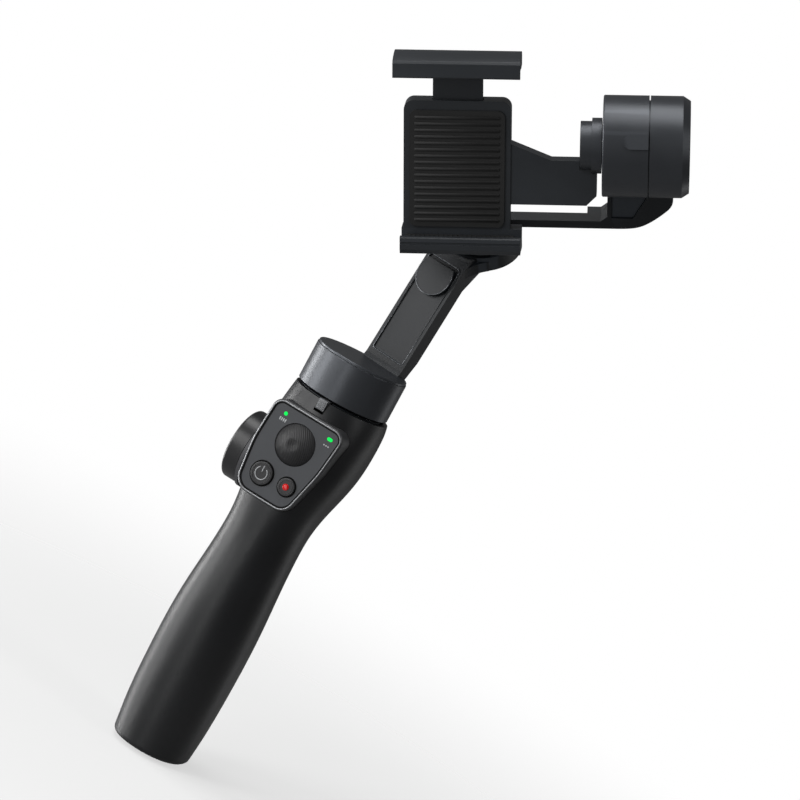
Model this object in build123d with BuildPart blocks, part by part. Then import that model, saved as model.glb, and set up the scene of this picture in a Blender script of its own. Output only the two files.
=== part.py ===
from build123d import *
import os
from math import cos, sin, radians, pi, copysign

os.makedirs("parts", exist_ok=True)

# ---------------------------------------------------------------- driving dimensions (mm, degrees)
PAN_TOP = 190.0          # height of the pan motor's top face above the handle base
PAN_R = 21.1             # pan motor radius
PAN_H = 18.7             # visible height of the pan motor cup
PAN_REST = -15.0         # pan angle of the stored pose
ARM_W = 21.0             # pan arm width
ARM_FOOT_Y = 13.8        # front face of the arm at the pan motor top
ARM_LEAN = 0.112         # rearward lean of the arm, mm per mm of height
ROLL_H = 104.3           # height of the roll/tilt axes crossing above the pan motor top
BETA = 46.4              # elevation of the roll axis above the horizontal
ROLL_REST = -41.8        # roll angle of the stored pose (about the rearward roll axis)
TILT_REST = 64.4         # tilt angle of the clamp to the roll plane in the stored pose
ROLL_R = 17.2            # roll motor radius
TILT_R = 21.35           # tilt motor radius
TILT_X0, TILT_XS, TILT_X1 = 51.4, 70.8, 87.8   # tilt motor left face, seam, right face
GRIP_X0, GRIP_X1 = -36.0, 17.0                 # clamp jaws along the tilt axis
PHONE_BOT, PHONE_TOP = -38.3, 33.1             # phone space between the jaws
PHONE_BACK = -4.0                              # clamp back face that the phone lies on
WALL = 2.2               # handle wall
THREAD_R = 2.65          # 1/4-20 thread core radius
SHAFT_R = 2.5            # motor shafts
RUN = 0.04               # radial running clearance of shafts in bearings

# ---------------------------------------------------------------- frames of the moving bodies
BASE = Plane.XY
ARM = Plane(
    origin=(0, 0, PAN_TOP),
    x_dir=(cos(radians(PAN_REST)), sin(radians(PAN_REST)), 0),
    z_dir=(0, 0, 1),
)
CROSS = Plane(origin=(0, 0, ROLL_H), x_dir=(1, 0, 0), z_dir=(0, sin(radians(BETA)), cos(radians(BETA))))
ROLL = Plane(ARM.location * CROSS.location * Location((0, 0, 0), (0, ROLL_REST, 0)))
TILT = Plane(ROLL.location * Location((0, 0, 0), (TILT_REST, 0, 0)))


def along_x(frame, x):
    """Sketch plane normal to a frame's X axis: sketch x is frame Y, sketch y is frame Z."""
    return frame * Plane(origin=(x, 0, 0), x_dir=(0, 1, 0), z_dir=(1, 0, 0))


def along_y(frame, y):
    """Sketch plane normal to a frame's Y axis, facing -Y: sketch x is frame X, sketch y is frame Z."""
    return frame * Plane(origin=(0, y, 0), x_dir=(1, 0, 0), z_dir=(0, -1, 0))


def along_z(frame, z):
    """Sketch plane normal to a frame's Z axis."""
    return frame * Plane(origin=(0, 0, z))


def save(builder, name):
    builder.part.label = name
    export_step(builder.part, "parts/" + name + ".step")


# ---------------------------------------------------------------- handle outline
# z, centre x, centre y, half width, half depth front, half depth rear, squareness front, squareness rear
SECTIONS = [
    (0.0, -0.4, -6.6, 17.2, 17.8, 17.8, 2.15, 2.15),
    (12.0, -0.4, -6.9, 18.4, 19.2, 19.2, 2.15, 2.15),
    (30.0, -0.4, -7.5, 19.4, 20.4, 20.4, 2.15, 2.15),
    (50.0, -0.4, -7.8, 19.7, 21.0, 21.0, 2.15, 2.15),
    (67.0, -0.4, -7.8, 19.3, 20.8, 20.6, 2.15, 2.15),
    (84.0, -0.2, -7.6, 18.1, 19.8, 19.8, 2.15, 2.1),
    (99.0, 0.0, -7.2, 17.1, 18.9, 19.4, 2.2, 2.1),
    (113.0, 0.0, -6.4, 17.1, 19.3, 20.0, 2.35, 2.1),
    (124.0, 0.0, -5.0, 18.7, 20.6, 21.6, 2.6, 2.1),
    (136.0, 0.2, -3.2, 21.2, 21.9, 23.6, 2.8, 2.1),
    (150.0, 0.6, -1.4, 22.6, 23.2, 23.9, 2.7, 2.05),
    (161.0, 0.8, -0.3, 22.5, 23.4, 23.1, 2.35, 2.0),
    (169.8, 0.5, 0.0, 21.7, 21.8, 21.8, 2.0, 2.0),
]


def outline(section, inset, n=16):
    z, cx, cy, a, bf, br, nf, nr = section
    pts = []
    for i in range(n):
        t = 2 * pi * (i + 0.5) / n
        c, s = cos(t), sin(t)
        b, e = (br, nr) if s > 0 else (bf, nf)
        x = (a - inset) * copysign(abs(c) ** (2 / e), c)
        y = (b - inset) * copysign(abs(s) ** (2 / e), s)
        pts.append((cx + x, cy + y))
    return pts


# outer volume and inner volume of the handle
with BuildPart() as handle_outer:
    for sec in SECTIONS:
        with BuildSketch(Plane.XY.offset(sec[0])):
            with BuildLine():
                Spline(*outline(sec, 0), periodic=True)
            make_face()
    loft()
    fillet(handle_outer.faces().sort_by(Axis.Z)[0].edges(), 2.6)

INNER = [(3.0,) + SECTIONS[0][1:]] + SECTIONS[1:-1] + [(170.5,) + SECTIONS[-1][1:]]
with BuildPart() as handle_inner:
    for sec in INNER:
        with BuildSketch(Plane.XY.offset(sec[0])):
            with BuildLine():
                Spline(*outline(sec, WALL), periodic=True)
            make_face()
    loft()

# ---------------------------------------------------------------- panel placement
PANEL_Y = -26.4          # panel face plane
JOY_Z = PAN_TOP - 41.8   # joystick centre height
PWR = (-7.0, JOY_Z - 17.6)
REC = (5.5, JOY_Z - 17.2)
LED_1 = (-10.1, JOY_Z + 9.4)
LED_2 = (12.5, JOY_Z + 9.6)
JOY_Y = -16.7            # pivot of the joystick
JOY_R = 12.96            # radius of the joystick's dome, centred on the pivot
PANEL_PTS = [(-16.9, 14.7), (18.9, 14.7), (16.3, -6.0), (10.6, -28.1), (-16.2, -28.1), (-18.5, -6.0)]
PANEL_RADII = [5.2, 5.2, 50.0, 7.4, 7.4, 50.0]


PANEL = [(x, JOY_Z + z) for x, z in PANEL_PTS]


# ---------------------------------------------------------------- handle shells
WHEEL_Z, WHEEL_Y, WHEEL_R = 133.6, -5.4, 15.9
WHEEL_X0, WHEEL_X1 = -21.2, -28.6
SPLIT_Y = -4.0

# everything that is cut out of the two shells
with BuildPart() as handle_cuts:
    # panel window
    with BuildSketch(along_y(BASE, -14.0)):
        with BuildLine():
            FilletPolyline(*PANEL, radius=PANEL_RADII, close=True)
        make_face()
        offset(amount=0.1, mode=Mode.REPLACE)
    extrude(amount=30)
    # zoom wheel pocket on the left
    with BuildSketch(along_x(BASE, -16.0)):
        with Locations((WHEEL_Y, WHEEL_Z)):
            Circle(WHEEL_R + 0.85)
    extrude(amount=-19)
    # charging port at the rear
    with BuildSketch(along_y(BASE, 26)):
        with Locations((0, 128.0)):
            SlotOverall(9.6, 3.9)
    extrude(amount=14)
    # pan lock slot at the front of the neck rim
    with Locations((0.8, -22.0, 167.95)):
        Box(4.8, 9.0, 6.9)
    # bottom opening
    with BuildSketch(Plane.XY.offset(-1)):
        with Locations((0, -6.6)):
            Circle(12.2)
    extrude(amount=8)

with BuildPart() as handle_shell:
    add(handle_outer.part)
    add(handle_inner.part, mode=Mode.SUBTRACT)
    add(handle_cuts.part, mode=Mode.SUBTRACT)

with BuildPart() as handle_front_shell:
    add(handle_shell.part)
    with Locations((0, SPLIT_Y + 50, 85)):
        Box(100, 100, 200, mode=Mode.SUBTRACT)
save(handle_front_shell, "handle_front_shell")

with BuildPart() as handle_rear_shell:
    add(handle_shell.part)
    with Locations((0, SPLIT_Y - 50, 85)):
        Box(100, 100, 200, mode=Mode.SUBTRACT)
save(handle_rear_shell, "handle_rear_shell")

# base plug that closes the handle and holds the tripod thread
with BuildPart() as base_plug:
    with BuildSketch(Plane.XY):
        with Locations((0, -6.6)):
            Circle(12.2)
    extrude(amount=3.0)
    with BuildSketch(Plane.XY.offset(3.0)):
        with Locations((0, -6.6)):
            Circle(13.6)
    extrude(amount=9.0)
    with BuildSketch(Plane.XY):
        Circle(4.6)
    extrude(amount=12.0, mode=Mode.SUBTRACT)
    chamfer(base_plug.faces().sort_by(Axis.Z)[0].edges(), 0.4)
save(base_plug, "base_plug")

# brass insert with the 1/4-20 tripod thread, on the handle axis
with BuildPart() as tripod_insert:
    with BuildSketch(Plane.XY):
        Circle(4.6)
        Circle(THREAD_R, mode=Mode.SUBTRACT)
    extrude(amount=12.0)
save(tripod_insert, "tripod_insert")

# ---------------------------------------------------------------- battery and electronics
with BuildPart() as battery_cell:
    with BuildSketch(Plane.XY.offset(20.5)):
        with Locations((0, -7.6)):
            Circle(9.2)
    extrude(amount=65.0)
    fillet(battery_cell.edges().filter_by(GeomType.CIRCLE), 0.8)
save(battery_cell, "battery_cell")

with BuildPart() as battery_holder:
    with BuildSketch(Plane.XY.offset(14.0)):
        with Locations((0, -7.6)):
            Circle(11.4)
    extrude(amount=76.0)
    with BuildSketch(Plane.XY.offset(20.3)):
        with Locations((0, -7.6)):
            Circle(9.5)
    extrude(amount=65.4, mode=Mode.SUBTRACT)
    with Locations((0, -17.6, 53.0)):
        Box(30, 14, 60, mode=Mode.SUBTRACT)
save(battery_holder, "battery_holder")

with BuildPart() as main_board:
    with Locations((0, -9.0, 133.0)):
        Box(26, 1.6, 44)
    with Locations((0, -9.0, 148.2)):
        Box(15, 3, 15, mode=Mode.SUBTRACT)
    fillet(main_board.edges().filter_by(Axis.Y), 1.0)
save(main_board, "main_board")

with BuildPart() as motor_driver_board:
    with BuildSketch(Plane.XY.offset(156.0)):
        with Locations((0, 2.0)):
            Circle(13.0)
            Circle(6.8, mode=Mode.SUBTRACT)
    extrude(amount=1.6)
save(motor_driver_board, "motor_driver_board")

with BuildPart() as charging_port:
    with BuildSketch(along_y(BASE, 18.9)):
        with Locations((0, 128.0)):
            SlotOverall(9.4, 3.7)
            SlotOverall(8.6, 2.9, mode=Mode.SUBTRACT)
    extrude(amount=7.4)
    with BuildSketch(along_y(BASE, 12.4)):
        with Locations((0, 128.0)):
            SlotOverall(9.4, 3.7)
    extrude(amount=0.9)
    with BuildSketch(along_y(BASE, 18.3)):
        with Locations((0, 128.0)):
            Rectangle(6.4, 0.8)
    extrude(amount=6.2)
save(charging_port, "charging_port")

# ---------------------------------------------------------------- control panel
with BuildPart() as panel_bezel:
    with BuildSketch(along_y(BASE, -15.0)):
        with BuildLine():
            FilletPolyline(*PANEL, radius=PANEL_RADII, close=True)
        make_face()
    extrude(amount=11.0)
    with BuildSketch(along_y(BASE, -26.0)):
        with BuildLine():
            FilletPolyline(*PANEL, radius=PANEL_RADII, close=True)
        make_face()
    extrude(amount=0.8, taper=35)
    with BuildSketch(along_y(BASE, -15.0)):
        with BuildLine():
            FilletPolyline(*PANEL, radius=PANEL_RADII, close=True)
        make_face()
        offset(amount=-1.2, mode=Mode.REPLACE)
    extrude(amount=20, mode=Mode.SUBTRACT)
save(panel_bezel, "panel_bezel")

with BuildPart() as panel_face:
    with BuildSketch(along_y(BASE, -24.0)):
        with BuildLine():
            FilletPolyline(*PANEL, radius=PANEL_RADII, close=True)
        make_face()
        offset(amount=-1.9, mode=Mode.REPLACE)
        with Locations(PWR):
            Circle(5.35, mode=Mode.SUBTRACT)
        with Locations(REC):
            Circle(4.2, mode=Mode.SUBTRACT)
        with Locations(LED_1):
            Circle(0.85, mode=Mode.SUBTRACT)
        with Locations(LED_2):
            SlotOverall(2.6, 1.5, mode=Mode.SUBTRACT)
    extrude(amount=2.4)
    # seat of the joystick's dome
    with Locations((0, JOY_Y, JOY_Z)):
        Sphere(JOY_R + 0.36, mode=Mode.SUBTRACT)
save(panel_face, "panel_face")

with BuildPart() as status_light:
    with BuildSketch(along_y(BASE, -22.5)):
        with Locations(LED_1):
            Circle(0.85)
    extrude(amount=4.0)
save(status_light, "status_light")

with BuildPart() as mode_light:
    with BuildSketch(along_y(BASE, -22.5)):
        with Locations(LED_2):
            SlotOverall(2.6, 1.5)
    extrude(amount=4.0)
save(mode_light, "mode_light")

# joystick: fixed socket, side to side rocker ring, and the cap on its stem
with BuildPart() as joystick_socket:
    with BuildSketch(along_y(BASE, -13.0)):
        with Locations((0, JOY_Z)):
            Rectangle(14, 14)
            Rectangle(11.4, 11.4, mode=Mode.SUBTRACT)
    extrude(amount=6.0)
    with BuildSketch(along_y(BASE, -9.9)):
        with Locations((0, JOY_Z)):
            Rectangle(14, 14)
    extrude(amount=3.1)
    # holes for the rocker's trunnions
    with BuildSketch(along_x(BASE, -8)):
        with Locations((JOY_Y, JOY_Z)):
            Circle(0.85)
    extrude(amount=16, mode=Mode.SUBTRACT)
save(joystick_socket, "joystick_socket")

# rocker ring: trunnions along X in the socket, holes along Z for the stick's pin
with BuildPart() as joystick_rocker:
    with BuildSketch(along_y(BASE, JOY_Y + 1.1)):
        with Locations((0, JOY_Z)):
            Circle(4.6)
    extrude(amount=2.2)
    with BuildSketch(along_x(BASE, -6.8)):
        with Locations((JOY_Y, JOY_Z)):
            Circle(0.8)
    extrude(amount=13.6)
    with BuildSketch(along_y(BASE, JOY_Y + 1.1)):
        with Locations((0, JOY_Z)):
            Circle(2.9)
    extrude(amount=2.2, mode=Mode.SUBTRACT)
    with BuildSketch(Plane.XY.offset(JOY_Z - 6)):
        with Locations((0, JOY_Y)):
            Circle(0.65)
    extrude(amount=12, mode=Mode.SUBTRACT)
save(joystick_rocker, "joystick_rocker")


# stick with its pin and the dome
def dome(radius, level):
    """Radius of a sphere about the pivot at a distance from the pivot."""
    return (radius ** 2 - level ** 2) ** 0.5


with BuildPart() as joystick_cap:
    with BuildSketch(Plane(origin=(0, JOY_Y, JOY_Z), x_dir=(0, -1, 0), z_dir=(1, 0, 0))):
        with BuildLine():
            Line((5.4, 0), (5.4, 1.5))
            Line((5.4, 1.5), (JOY_R - 1.8, 1.5))
            Line((JOY_R - 1.8, 1.5), (8.6, dome(JOY_R - 1.5, 8.6)))
            Line((8.6, dome(JOY_R - 1.5, 8.6)), (8.6, dome(JOY_R, 8.6)))
            ThreePointArc((8.6, dome(JOY_R, 8.6)), (11.4, dome(JOY_R, 11.4)), (JOY_R - 0.3, dome(JOY_R, JOY_R - 0.3)))
            Line((JOY_R - 0.3, dome(JOY_R, JOY_R - 0.3)), (JOY_R - 0.75, 0))
            Line((JOY_R - 0.75, 0), (5.4, 0))
        make_face()
    revolve(axis=Axis((0, 0, JOY_Z), (0, -1, 0)))
    with BuildSketch(along_y(BASE, JOY_Y + 1.1)):
        with Locations((0, JOY_Z)):
            Circle(1.5)
    extrude(amount=7.0)
    with BuildSketch(Plane.XY.offset(JOY_Z - 4.2)):
        with Locations((0, JOY_Y)):
            Circle(0.6)
    extrude(amount=8.4)
save(joystick_cap, "joystick_cap")

# power and record buttons with their tact switches
with BuildPart() as power_button:
    with BuildSketch(along_y(BASE, -23.0)):
        with Locations(PWR):
            Circle(5.1)
    extrude(amount=4.3)
    fillet(power_button.faces().sort_by(Axis.Y)[0].edges(), 0.5)
    with BuildSketch(along_y(BASE, -22.0)):
        with Locations(PWR):
            Circle(2.0)
    extrude(amount=1.0)
save(power_button, "power_button")

with BuildPart() as record_button:
    with BuildSketch(along_y(BASE, -23.0)):
        with Locations(REC):
            Circle(3.95)
    extrude(amount=4.3)
    fillet(record_button.faces().sort_by(Axis.Y)[0].edges(), 0.5)
    with BuildSketch(along_y(BASE, -22.0)):
        with Locations(REC):
            Circle(2.0)
    extrude(amount=1.0)
save(record_button, "record_button")

with BuildPart() as record_lens:
    with BuildSketch(Plane(origin=(REC[0], 0, REC[1]), x_dir=(0, -1, 0), z_dir=(1, 0, 0))):
        with BuildLine():
            Polyline((27.3, 0), (27.3, 1.4), (27.6, 1.4), (27.95, 0.9), (28.1, 0), (27.3, 0))
        make_face()
    revolve(axis=Axis((REC[0], 0, REC[1]), (0, -1, 0)))
save(record_lens, "record_lens")

with BuildPart() as tact_switches:
    for spot in (PWR, REC):
        with BuildSketch(along_y(BASE, -13.0)):
            with Locations(spot):
                Rectangle(6, 6)
        extrude(amount=7.9)
save(tact_switches, "tact_switches")

# ---------------------------------------------------------------- zoom wheel
with BuildPart() as zoom_wheel:
    with BuildSketch(along_x(BASE, WHEEL_X0)):
        with Locations((WHEEL_Y, WHEEL_Z)):
            Circle(WHEEL_R)
    extrude(amount=WHEEL_X1 - WHEEL_X0)
    fillet(zoom_wheel.faces().sort_by(Axis.X)[0].edges(), 1.2)
    with BuildSketch(along_x(BASE, WHEEL_X0)):
        with Locations((WHEEL_Y, WHEEL_Z)):
            Circle(SHAFT_R)
    extrude(amount=6.0)
save(zoom_wheel, "zoom_wheel")

with BuildPart() as wheel_plate:
    with BuildSketch(along_x(BASE, -20.7)):
        with Locations((WHEEL_Y, WHEEL_Z)):
            Circle(WHEEL_R + 0.8)
            Circle(SHAFT_R + 0.25, mode=Mode.SUBTRACT)
    extrude(amount=1.6)
save(wheel_plate, "wheel_plate")

with BuildPart() as wheel_encoder:
    with BuildSketch(along_x(BASE, -19.0)):
        with Locations((WHEEL_Y, WHEEL_Z)):
            Circle(5.5)
            Circle(SHAFT_R + RUN, mode=Mode.SUBTRACT)
    extrude(amount=4.6)
save(wheel_encoder, "wheel_encoder")

# ---------------------------------------------------------------- pan lock slider
with BuildPart() as pan_lock_tab:
    with Locations((0.8, -20.7, 168.0)):
        Box(4.0, 5.2, 4.8)
    fillet(pan_lock_tab.edges().filter_by(Axis.X), 0.6)
save(pan_lock_tab, "pan_lock_tab")

# ---------------------------------------------------------------- pan motor, fixed half
with BuildPart() as pan_motor_mount:
    with BuildSketch(Plane.XY.offset(166.6)):
        Circle(17.5)
    extrude(amount=2.0)
    with BuildSketch(Plane.XY.offset(168.6)):
        Circle(18.9)
    extrude(amount=1.4)
    with BuildSketch(Plane.XY.offset(170.0)):
        Circle(6.6)
    extrude(amount=15.6)
    with BuildSketch(Plane.XY.offset(166.6)):
        Circle(5.0)
    extrude(amount=19.0, mode=Mode.SUBTRACT)
    with Locations((0.8, -22.0, 168.2)):
        Box(5.2, 9.4, 6.4, mode=Mode.SUBTRACT)
save(pan_motor_mount, "pan_motor_mount")

with BuildPart() as pan_bearings:
    for z in (167.2, 180.8):
        with BuildSketch(Plane.XY.offset(z)):
            Circle(5.0)
            Circle(SHAFT_R + RUN, mode=Mode.SUBTRACT)
        extrude(amount=4.0)
save(pan_bearings, "pan_bearings")

with BuildPart() as pan_stator:
    with BuildSketch(Plane.XY.offset(173.5)):
        Circle(8.4)
        with PolarLocations(0, 9):
            with Locations((10.6, 0)):
                Rectangle(6.4, 2.4)
        with PolarLocations(13.2, 9):
            Rectangle(1.6, 7.2)
        Circle(6.6, mode=Mode.SUBTRACT)
    extrude(amount=10.0)
save(pan_stator, "pan_stator")

with BuildPart() as pan_windings:
    with BuildSketch(Plane.XY.offset(174.5)):
        with PolarLocations(10.3, 9):
            Rectangle(3.6, 5.4)
        with PolarLocations(10.3, 9):
            Rectangle(3.8, 2.5, mode=Mode.SUBTRACT)
    extrude(amount=8.0)
save(pan_windings, "pan_windings")

# ---------------------------------------------------------------- pan motor, turning half
with BuildPart() as pan_motor_cup:
    with BuildSketch(Plane.XY.offset(PAN_TOP - PAN_H)):
        Circle(PAN_R)
    extrude(amount=PAN_H - 1.0)
    with BuildSketch(Plane.XY.offset(PAN_TOP - PAN_H)):
        Circle(PAN_R - 2.0)
    extrude(amount=PAN_H - 3.4, mode=Mode.SUBTRACT)
    with BuildSketch(Plane.XY.offset(PAN_TOP - 3.4)):
        Circle(SHAFT_R)
    extrude(amount=2.4, mode=Mode.SUBTRACT)
    chamfer(pan_motor_cup.faces().sort_by(Axis.Z)[-1].edges().sort_by(SortBy.RADIUS)[-1:], 0.25)
save(pan_motor_cup, "pan_motor_cup")

with BuildPart(ARM) as pan_top_plate:
    with BuildSketch(along_z(ARM, -1.0)):
        Circle(PAN_R - 0.35)
    extrude(amount=1.0)
    chamfer(pan_top_plate.faces().sort_by(Axis.Z)[-1].edges(), 0.3)
    with BuildSketch(along_z(ARM, -1.0)):
        with Locations((0, ARM_FOOT_Y - 0.64 + 5.0)):
            Rectangle(ARM_W + 0.06, 10.0)
    extrude(amount=1.0, mode=Mode.SUBTRACT)
save(pan_top_plate, "pan_top_plate")

with BuildPart() as pan_shaft:
    with BuildSketch(Plane.XY.offset(158.0)):
        Circle(SHAFT_R)
    extrude(amount=PAN_TOP - 1.0 - 158.0)
save(pan_shaft, "pan_shaft")

with BuildPart() as pan_magnet_ring:
    with BuildSketch(Plane.XY.offset(172.6)):
        Circle(PAN_R - 2.0)
        Circle(15.0, mode=Mode.SUBTRACT)
    extrude(amount=12.0)
save(pan_magnet_ring, "pan_magnet_ring")

# arm: leaning channel plate that ends in the roll motor's cup
def arm_y(h, back=0.0):
    return ARM_FOOT_Y + ARM_LEAN * h + back


ARM_T = 7.2
CUP_Y0, CUP_Y1 = 48.6, 55.8
MID = Plane(ARM.location * CROSS.location)      # roll axis frame before any roll
CHANNEL = Plane(
    ARM.location
    * Plane(origin=(0, ARM_FOOT_Y, 0), x_dir=(1, 0, 0),
            z_dir=(0, -cos(radians(6.2)), sin(radians(6.2)))).location
)

with BuildPart() as pan_arm:
    # leaning plate with its foot on the pan motor
    with BuildSketch(along_x(ARM, -ARM_W / 2)):
        with BuildLine():
            Polyline((arm_y(0) - 0.6, -0.98), (arm_y(0) - 0.6, 0.0), (arm_y(2.2), 2.2), (arm_y(56), 56.0),
                     (arm_y(60, 6.0), 62.0), (arm_y(57, ARM_T + 3.5), 54.0), (arm_y(44, ARM_T), 44.0),
                     (arm_y(8, ARM_T), 8.0), (arm_y(0, 5.2), -0.98), (arm_y(0) - 0.6, -0.98))
        make_face()
    extrude(amount=ARM_W)
    # cup of the roll motor
    with BuildSketch(along_y(MID, CUP_Y1)):
        Circle(ROLL_R)
    extrude(amount=CUP_Y1 - CUP_Y0)
    # flared neck between plate and cup
    with BuildSketch(along_y(MID, CUP_Y1)):
        with BuildLine():
            Line((-15.0, -6.4), (15.0, -6.4))
            Line((15.0, -6.4), (14.0, -10.4))
            ThreePointArc((14.0, -10.4), (11.6, -15.2), (ARM_W / 2, -20.8))
            Line((ARM_W / 2, -20.8), (-ARM_W / 2, -20.8))
            ThreePointArc((-ARM_W / 2, -20.8), (-11.6, -15.2), (-14.0, -10.4))
            Line((-14.0, -10.4), (-15.0, -6.4))
        make_face()
    extrude(amount=5.0)
    # motor space in the cup
    with BuildSketch(along_y(MID, CUP_Y1 - 2.0)):
        Circle(ROLL_R - 1.8)
    extrude(amount=20.0, mode=Mode.SUBTRACT)
    # shallow channel in the front face
    with BuildSketch(CHANNEL * Plane.XY.offset(-1.6)):
        with Locations((0, 28.5)):
            RectangleRounded(ARM_W - 3.6, 47.0, 1.0)
    extrude(amount=6.0, mode=Mode.SUBTRACT)
save(pan_arm, "pan_arm")

with BuildPart() as arm_cover:
    with BuildSketch(CHANNEL * Plane.XY.offset(-1.6)):
        with Locations((0, 28.5)):
            RectangleRounded(ARM_W - 3.9, 46.7, 0.9)
    extrude(amount=1.0)
save(arm_cover, "arm_cover")

# rounded cap over the cable turn at the top of the arm
with BuildPart() as arm_cap:
    with BuildSketch(CHANNEL * Plane.XY.offset(-0.6)):
        with Locations((-0.4, 45.0)):
            Circle(9.1)
        with Locations((0, 29.0)):
            Rectangle(ARM_W - 3.9, 43.0, mode=Mode.INTERSECT)
    extrude(amount=2.0)
    with BuildSketch(CHANNEL * Plane.XY.offset(0.05)):
        with Locations((-0.4, 45.0)):
            Circle(9.1)
        with Locations((0, 38.0)):
            Rectangle(30.0, 25.0, mode=Mode.INTERSECT)
    extrude(amount=1.35)
save(arm_cap, "arm_cap")

# ---------------------------------------------------------------- roll motor
with BuildPart(MID) as roll_stator:
    with BuildSketch(along_y(MID, CUP_Y1 - 2.0)):
        Circle(10.4)
        Circle(5.0, mode=Mode.SUBTRACT)
    extrude(amount=4.0)
save(roll_stator, "roll_stator")

with BuildPart(MID) as roll_bearing:
    with BuildSketch(along_y(MID, CUP_Y1 - 2.0)):
        Circle(5.0)
        Circle(SHAFT_R + RUN, mode=Mode.SUBTRACT)
    extrude(amount=4.0)
save(roll_bearing, "roll_bearing")

with BuildPart(ROLL) as roll_rotor:
    with BuildSketch(along_y(ROLL, 48.1)):
        Circle(16.2)
    extrude(amount=2.4)
    fillet(roll_rotor.edges().filter_by(GeomType.CIRCLE), 0.5)
    with BuildSketch(along_y(ROLL, 53.2)):
        Circle(SHAFT_R)
    extrude(amount=5.2)
save(roll_rotor, "roll_rotor")

with BuildPart(ROLL) as roll_magnet_ring:
    with BuildSketch(along_y(ROLL, 53.0)):
        Circle(14.9)
        Circle(11.4, mode=Mode.SUBTRACT)
    extrude(amount=4.9)
save(roll_magnet_ring, "roll_magnet_ring")

# roll arm: flat elbow plate from the roll motor around to the tilt motor
BAR_Y0, BAR_Y1, BAR_Z0, BAR_Z1 = 38.8, 42.8, -2.9, 2.6
with BuildPart() as roll_arm:
    with BuildSketch(along_z(ROLL, BAR_Z0)):
        with BuildLine():
            Polyline((-9.0, 45.7), (-9.0, BAR_Y0 + 2), (-7.0, BAR_Y0), (50.8, BAR_Y0), (53.6, BAR_Y0 - 2.6),
                     (53.6, 10.0), (81.4, 10.0), (81.4, 26.4))
            Spline((81.4, 26.4), (78.0, 33.6), (70.2, 40.2), (57.0, BAR_Y1), tangents=[(0, 1), (-1, 0)])
            Polyline((57.0, BAR_Y1), (12.0, BAR_Y1), (9.0, 45.7), (-9.0, 45.7))
        make_face()
    extrude(amount=BAR_Z1 - BAR_Z0)
    # round flange on the roll motor
    with BuildSketch(along_y(ROLL, 45.7)):
        Circle(8.6)
    extrude(amount=45.7 - BAR_Y1 + 0.4)
    # thicker leg under the tilt motor
    with BuildSketch(along_z(ROLL, BAR_Z1)):
        with BuildLine():
            Polyline((53.6, 10.0), (81.4, 10.0), (81.4, 26.0), (73.6, 33.4), (66.0, 39.0), (58.0, BAR_Y1 - 0.5),
                     (46.6, BAR_Y1 - 0.5), (45.0, BAR_Y0), (50.8, BAR_Y0), (53.6, BAR_Y0 - 2.6), (53.6, 10.0))
        make_face()
    extrude(amount=4.4)
    with BuildSketch(along_x(ROLL, 40)):
        Circle(TILT_R)
    extrude(amount=60, mode=Mode.SUBTRACT)
    # pocket under the elbow
    with BuildSketch(along_z(ROLL, BAR_Z0)):
        with BuildLine():
            Polyline((55.4, 24.0), (71.0, 24.0), (64.6, 37.0), (55.4, 37.0), (55.4, 24.0))
        make_face()
    extrude(amount=1.4, mode=Mode.SUBTRACT)
save(roll_arm, "roll_arm")

with BuildPart() as roll_arm_cover:
    with BuildSketch(along_z(ROLL, BAR_Z0 + 1.4)):
        with BuildLine():
            Polyline((55.5, 24.3), (70.7, 24.3), (64.5, 36.9), (55.5, 36.9), (55.5, 24.3))
        make_face()
    extrude(amount=-0.7)
save(roll_arm_cover, "roll_arm_cover")

# ---------------------------------------------------------------- tilt motor
with BuildPart() as tilt_motor_housing:
    with BuildSketch(along_x(ROLL, TILT_X0)):
        Circle(TILT_R)
    extrude(amount=TILT_XS - 0.25 - TILT_X0)
    with BuildSketch(along_x(ROLL, TILT_X0 + 2.4)):
        Circle(TILT_R - 2.0)
    extrude(amount=40, mode=Mode.SUBTRACT)
    with BuildSketch(along_x(ROLL, TILT_X0)):
        Circle(5.0)
    extrude(amount=4, mode=Mode.SUBTRACT)
    fillet(tilt_motor_housing.edges().filter_by(GeomType.CIRCLE).sort_by(SortBy.RADIUS)[-2:].sort_by(Axis((0, 0, 0), tuple(ROLL.x_dir)))[0:1], 0.7)
save(tilt_motor_housing, "tilt_motor_housing")

with BuildPart() as tilt_motor_cap:
    with BuildSketch(along_x(ROLL, TILT_XS + 0.25)):
        Circle(TILT_R)
    extrude(amount=TILT_X1 - 3.1 - TILT_XS - 0.25)
    with BuildSketch(along_x(ROLL, TILT_X1 - 3.1)):
        Circle(TILT_R)
    with BuildSketch(along_x(ROLL, TILT_X1)):
        Circle(TILT_R - 2.0)
    loft()
    with BuildSketch(along_x(ROLL, TILT_XS + 0.25)):
        Circle(TILT_R - 2.0)
    extrude(amount=-2.4)
    with BuildSketch(along_x(ROLL, TILT_XS - 4)):
        Circle(TILT_R - 3.6)
    extrude(amount=TILT_X1 - 2.2 - TILT_XS + 4, mode=Mode.SUBTRACT)
save(tilt_motor_cap, "tilt_motor_cap")

TAB_A = 180 + 47.0       # direction of the tab round the tilt axis, from frame +Y towards +Z
with BuildPart() as tilt_motor_tab:
    with BuildSketch(ROLL * Plane(origin=(0, cos(radians(TAB_A)) * (TILT_R - 0.25), sin(radians(TAB_A)) * (TILT_R - 0.25)),
                                  x_dir=(1, 0, 0),
                                  z_dir=(0, cos(radians(TAB_A)), sin(radians(TAB_A))))):
        with Locations((66.8, 0)):
            Rectangle(7.4, 6.2)
        with Locations((63.3, 0)):
            Circle(3.1)
    extrude(amount=0.85)
    with BuildSketch(along_x(ROLL, 40)):
        Circle(TILT_R)
    extrude(amount=60, mode=Mode.SUBTRACT)
save(tilt_motor_tab, "tilt_motor_tab")

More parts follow.
